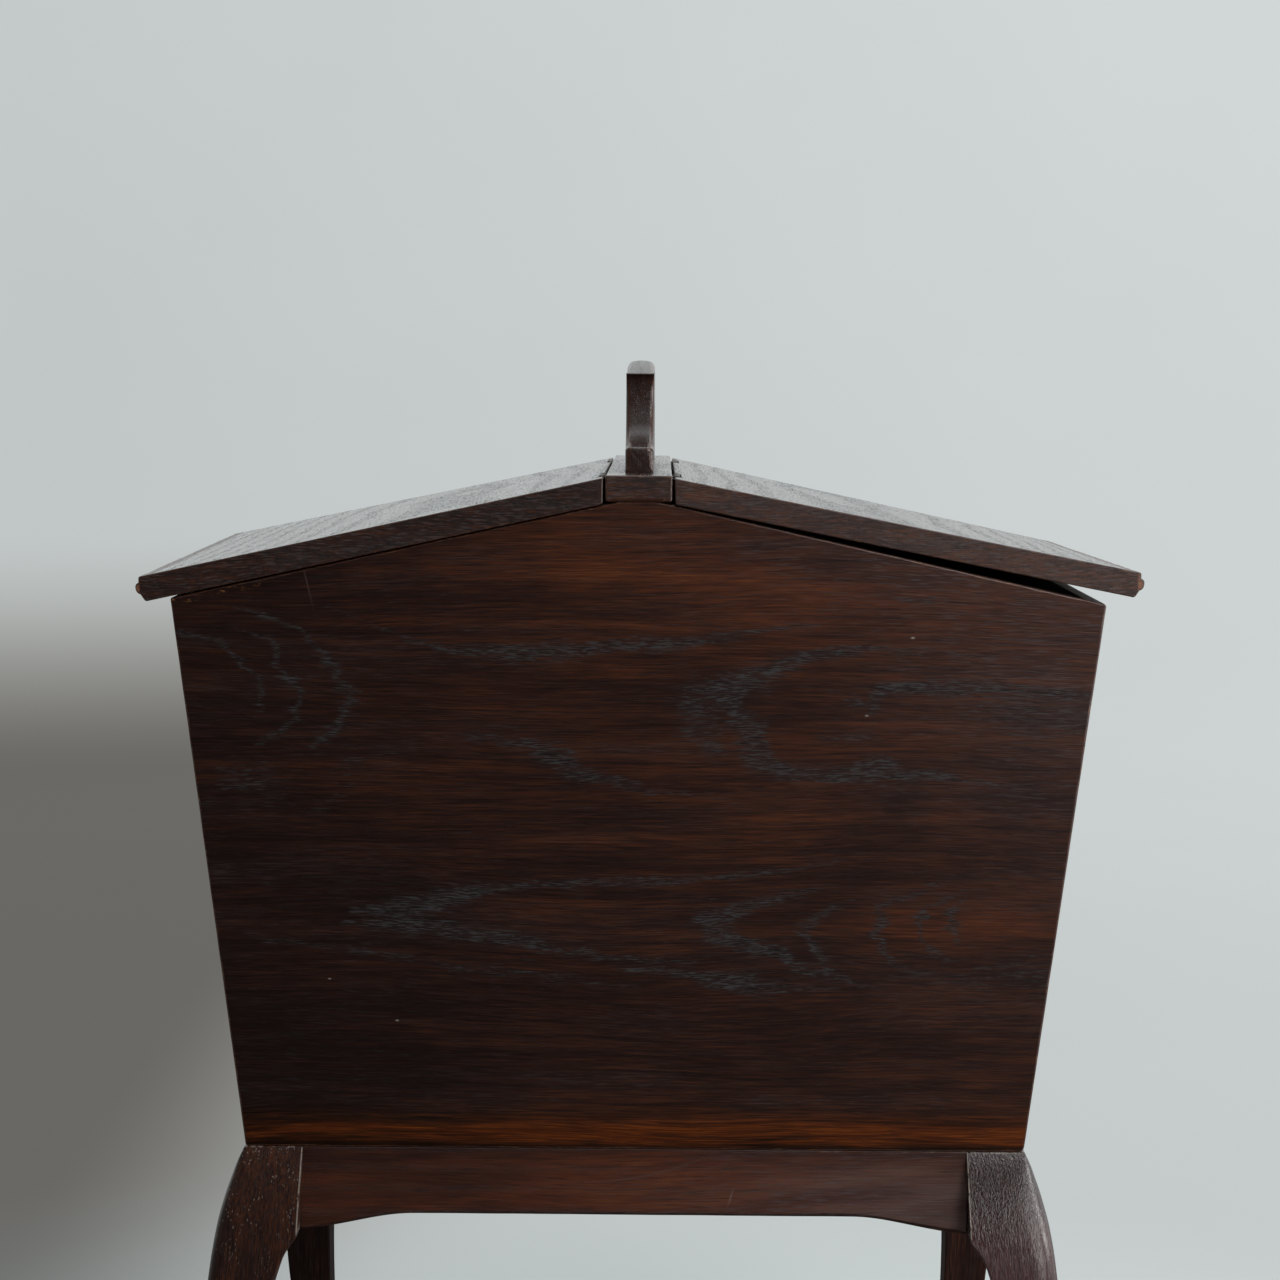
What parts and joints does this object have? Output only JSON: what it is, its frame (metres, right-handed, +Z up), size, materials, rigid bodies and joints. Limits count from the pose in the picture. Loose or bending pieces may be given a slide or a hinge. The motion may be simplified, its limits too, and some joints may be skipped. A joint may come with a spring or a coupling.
{
  "type": "sewing box on stand",
  "caption": "Gabled wooden sewing box on a stand with curved legs, with sloping hinged lids each side of a ridge board, a carved bow handle and a sliding inner tray.",
  "frame": {"origin": "centre of the floor under the feet, at the centre of the overall footprint", "axes": "+Z up, +X to the right when the front end panel is faced, -Y towards whoever faces that panel; the ridge and the handle run along Y"},
  "size_m": [0.4308, 0.3212, 0.5814],
  "materials": {
    "dark_stained_wood": "dark red-brown stain under an old satin varnish, open grain",
    "lid_wood": "dark red-brown stain under an old satin varnish, coarse open grain, bare brown at the worn eaves",
    "stand_wood": "dark red-brown stain under an old satin varnish, glossier on the knees",
    "handle_wood": "dark red-brown stain polished by use",
    "unfinished_wood": "bare planed wood, aged",
    "tray_wood": "bare sanded wood, aged",
    "hinge_metal": "tarnished brass, nearly black",
    "screw_steel": "dulled steel"
  },
  "bodies": {
    "case": {"front_end_panel": "dark_stained_wood", "back_end_panel": "dark_stained_wood", "left_side_board": "dark_stained_wood", "right_side_board": "dark_stained_wood", "bottom_board": "unfinished_wood", "ridge_board": "dark_stained_wood", "ridge_dowels": "unfinished_wood", "handle": "handle_wood", "handle_screws": "screw_steel", "front_tray_runner": "unfinished_wood", "back_tray_runner": "unfinished_wood", "front_left_leg": "stand_wood", "front_right_leg": "stand_wood", "back_left_leg": "stand_wood", "back_right_leg": "stand_wood", "front_apron": "stand_wood", "back_apron": "stand_wood", "left_apron": "stand_wood", "right_apron": "stand_wood", "front_left_corner_block": "unfinished_wood", "front_right_corner_block": "unfinished_wood", "back_left_corner_block": "unfinished_wood", "back_right_corner_block": "unfinished_wood", "corner_block_screws": "screw_steel", "stand_to_box_screws": "screw_steel", "left_front_ridge_leaf": "hinge_metal", "left_back_ridge_leaf": "hinge_metal", "right_front_ridge_leaf": "hinge_metal", "right_back_ridge_leaf": "hinge_metal", "left_front_hinge_pin": "hinge_metal", "left_back_hinge_pin": "hinge_metal", "right_front_hinge_pin": "hinge_metal", "right_back_hinge_pin": "hinge_metal", "ridge_leaf_screws": "screw_steel"},
    "left_lid": {"left_lid": "lid_wood", "left_front_lid_leaf": "hinge_metal", "left_back_lid_leaf": "hinge_metal", "left_lid_leaf_screws": "screw_steel"},
    "right_lid": {"right_lid": "lid_wood", "right_front_lid_leaf": "hinge_metal", "right_back_lid_leaf": "hinge_metal", "right_lid_leaf_screws": "screw_steel"},
    "tray": {"tray_bottom": "tray_wood", "tray_front_end": "tray_wood", "tray_back_end": "tray_wood", "tray_left_side": "tray_wood", "tray_right_side": "tray_wood", "tray_long_divider": "tray_wood", "tray_front_cross_divider": "tray_wood", "tray_back_cross_divider": "tray_wood"}
  },
  "joints": [
    {"name": "left_lid_hinge", "type": "hinge", "parent": "case", "child": "left_lid", "pos_m": [-0.0164, 0, 0.52965], "axis": [0, 1, 0], "range_deg": [0, 105]},
    {"name": "right_lid_hinge", "type": "hinge", "parent": "case", "child": "right_lid", "pos_m": [0.0164, 0, 0.52965], "axis": [0, -1, 0], "range_deg": [0, 105]},
    {"name": "tray_slide", "type": "slide", "parent": "case", "child": "tray", "axis": [1, 0, 0], "range_m": [-0.096, 0.096]}
  ]
}
